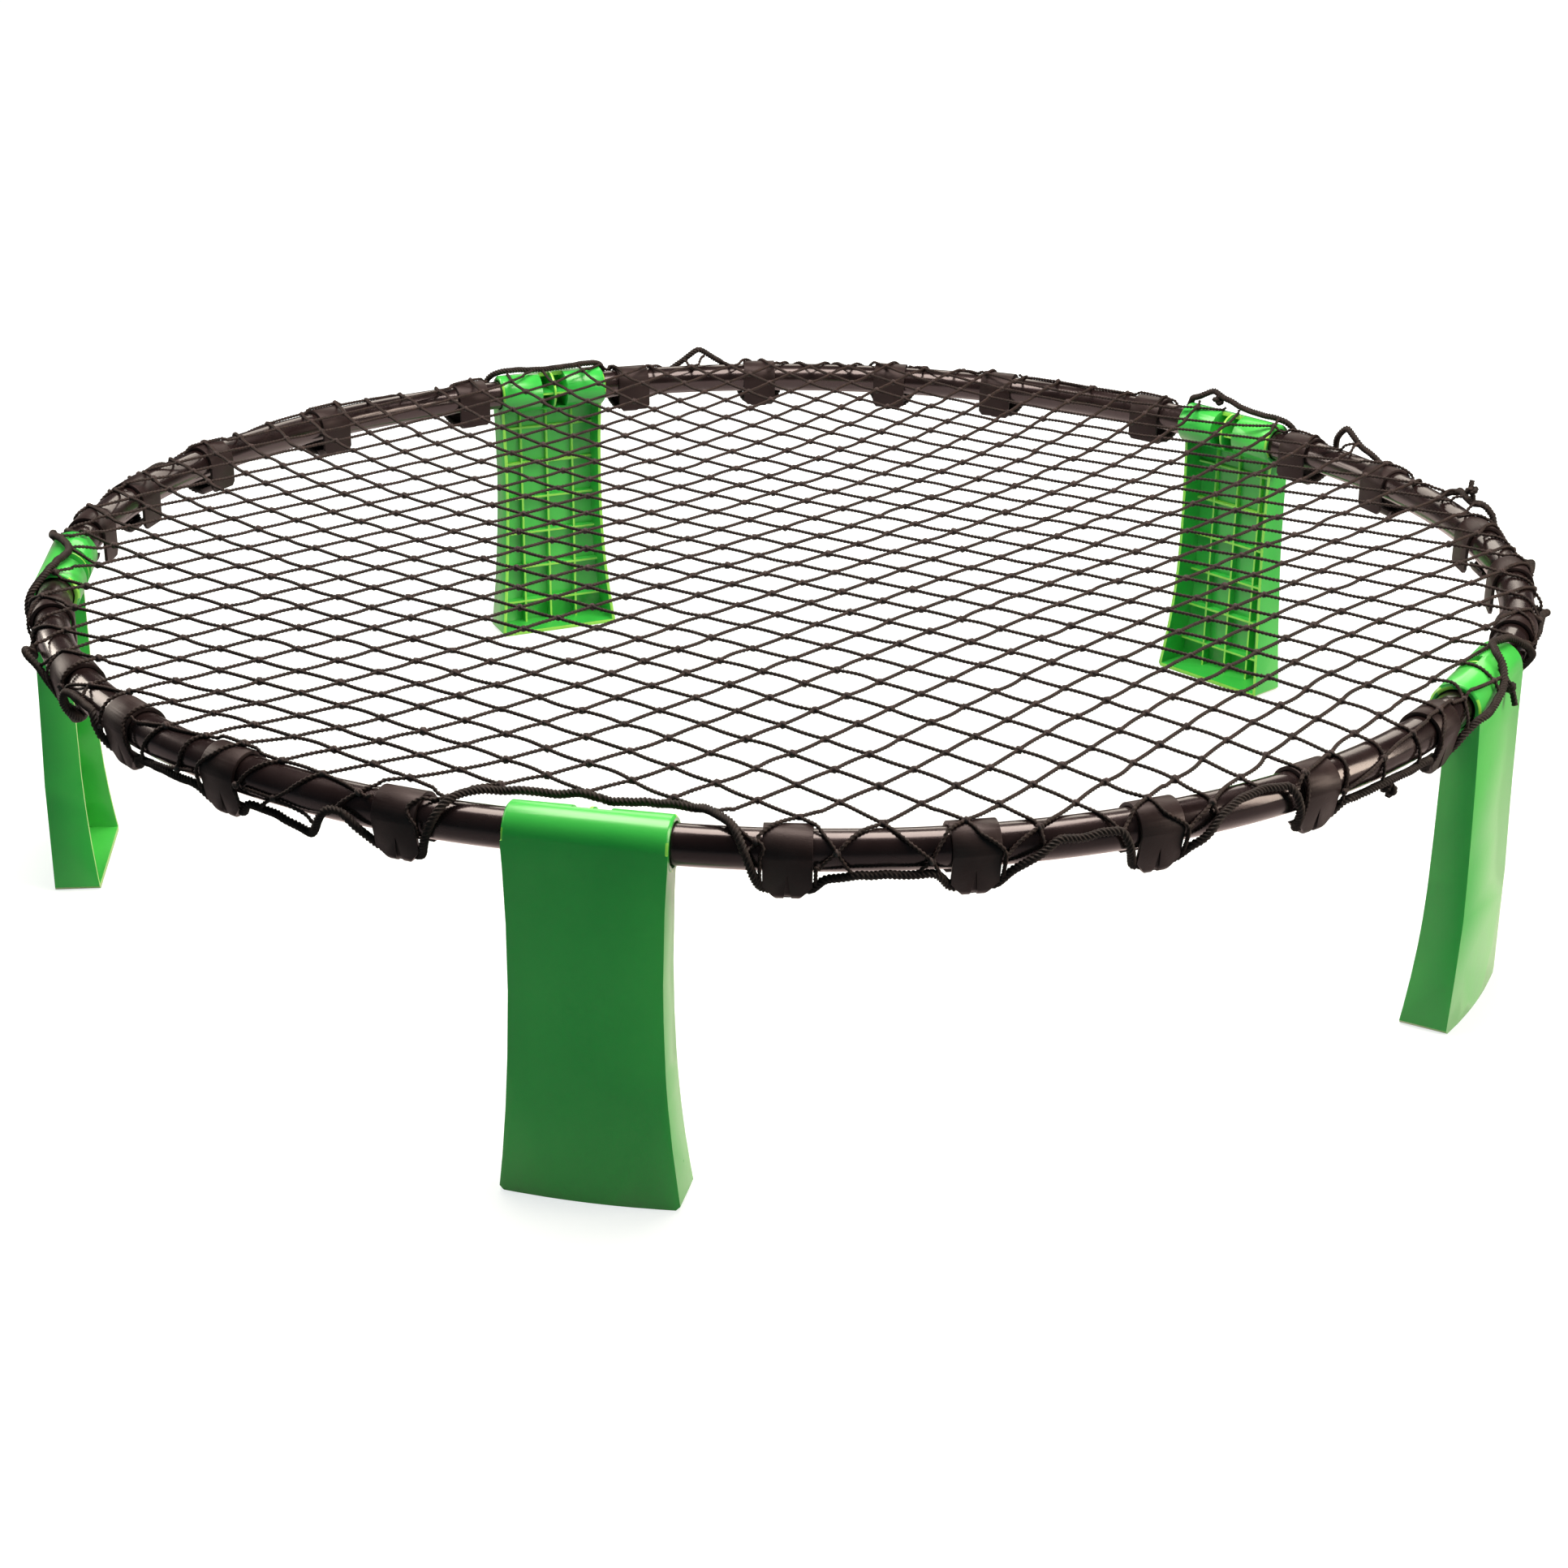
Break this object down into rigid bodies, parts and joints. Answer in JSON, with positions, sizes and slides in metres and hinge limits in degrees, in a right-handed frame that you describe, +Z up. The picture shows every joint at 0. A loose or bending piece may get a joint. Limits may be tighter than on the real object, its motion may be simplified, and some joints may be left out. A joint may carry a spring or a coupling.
{
  "type": "roundnet set",
  "caption": "Low round game ring of steel tubes with a taut diamond-mesh net, hooked to the ring by clips on an edge rope, and flared plastic legs that fold in under the net.",
  "frame": {"origin": "on the ground under the middle of the ring", "axes": "+Z up, -Y towards leg 1; the other legs follow every 72 degrees, counter-clockwise seen from above"},
  "size_m": [0.9354, 0.9355, 0.2125],
  "materials": {
    "rim_tube": "gloss black paint",
    "leg_plastic": "gloss moulded plastic",
    "clip_plastic": "satin moulded plastic",
    "net_cord": "braided cord",
    "edge_rope": "braided rope"
  },
  "bodies": {
    "ring": {"rim_tube_1": "rim_tube", "rim_tube_2": "rim_tube", "rim_tube_3": "rim_tube", "rim_tube_4": "rim_tube", "rim_tube_5": "rim_tube", "clip_1_1": "clip_plastic", "clip_1_2": "clip_plastic", "clip_1_3": "clip_plastic", "clip_1_4": "clip_plastic", "clip_1_5": "clip_plastic", "clip_2_1": "clip_plastic", "clip_2_2": "clip_plastic", "clip_2_3": "clip_plastic", "clip_2_4": "clip_plastic", "clip_2_5": "clip_plastic", "clip_3_1": "clip_plastic", "clip_3_2": "clip_plastic", "clip_3_3": "clip_plastic", "clip_3_4": "clip_plastic", "clip_3_5": "clip_plastic", "clip_4_1": "clip_plastic", "clip_4_2": "clip_plastic", "clip_4_3": "clip_plastic", "clip_4_4": "clip_plastic", "clip_4_5": "clip_plastic", "clip_5_1": "clip_plastic", "clip_5_2": "clip_plastic", "clip_5_3": "clip_plastic", "clip_5_4": "clip_plastic", "clip_5_5": "clip_plastic", "net_cords_lower": "net_cord", "net_cords_upper": "net_cord", "net_edge_lower": "net_cord", "net_edge_upper": "net_cord", "edge_rope": "edge_rope"},
    "leg_1": {"leg_1": "leg_plastic"},
    "leg_2": {"leg_2": "leg_plastic"},
    "leg_3": {"leg_3": "leg_plastic"},
    "leg_4": {"leg_4": "leg_plastic"},
    "leg_5": {"leg_5": "leg_plastic"}
  },
  "joints": [
    {"name": "leg_1_fold", "type": "hinge", "parent": "ring", "child": "leg_1", "pos_m": [0, -0.445, 0.193], "axis": [1, 0, 0], "range_deg": [0, 90]},
    {"name": "leg_2_fold", "type": "hinge", "parent": "ring", "child": "leg_2", "pos_m": [0.42322, -0.13751, 0.193], "axis": [0.309, 0.9511, 0], "range_deg": [0, 90]},
    {"name": "leg_3_fold", "type": "hinge", "parent": "ring", "child": "leg_3", "pos_m": [0.26156, 0.36001, 0.193], "axis": [-0.809, 0.5878, 0], "range_deg": [0, 90]},
    {"name": "leg_4_fold", "type": "hinge", "parent": "ring", "child": "leg_4", "pos_m": [-0.26156, 0.36001, 0.193], "axis": [-0.809, -0.5878, 0], "range_deg": [0, 90]},
    {"name": "leg_5_fold", "type": "hinge", "parent": "ring", "child": "leg_5", "pos_m": [-0.42322, -0.13751, 0.193], "axis": [0.309, -0.9511, 0], "range_deg": [0, 90]}
  ]
}
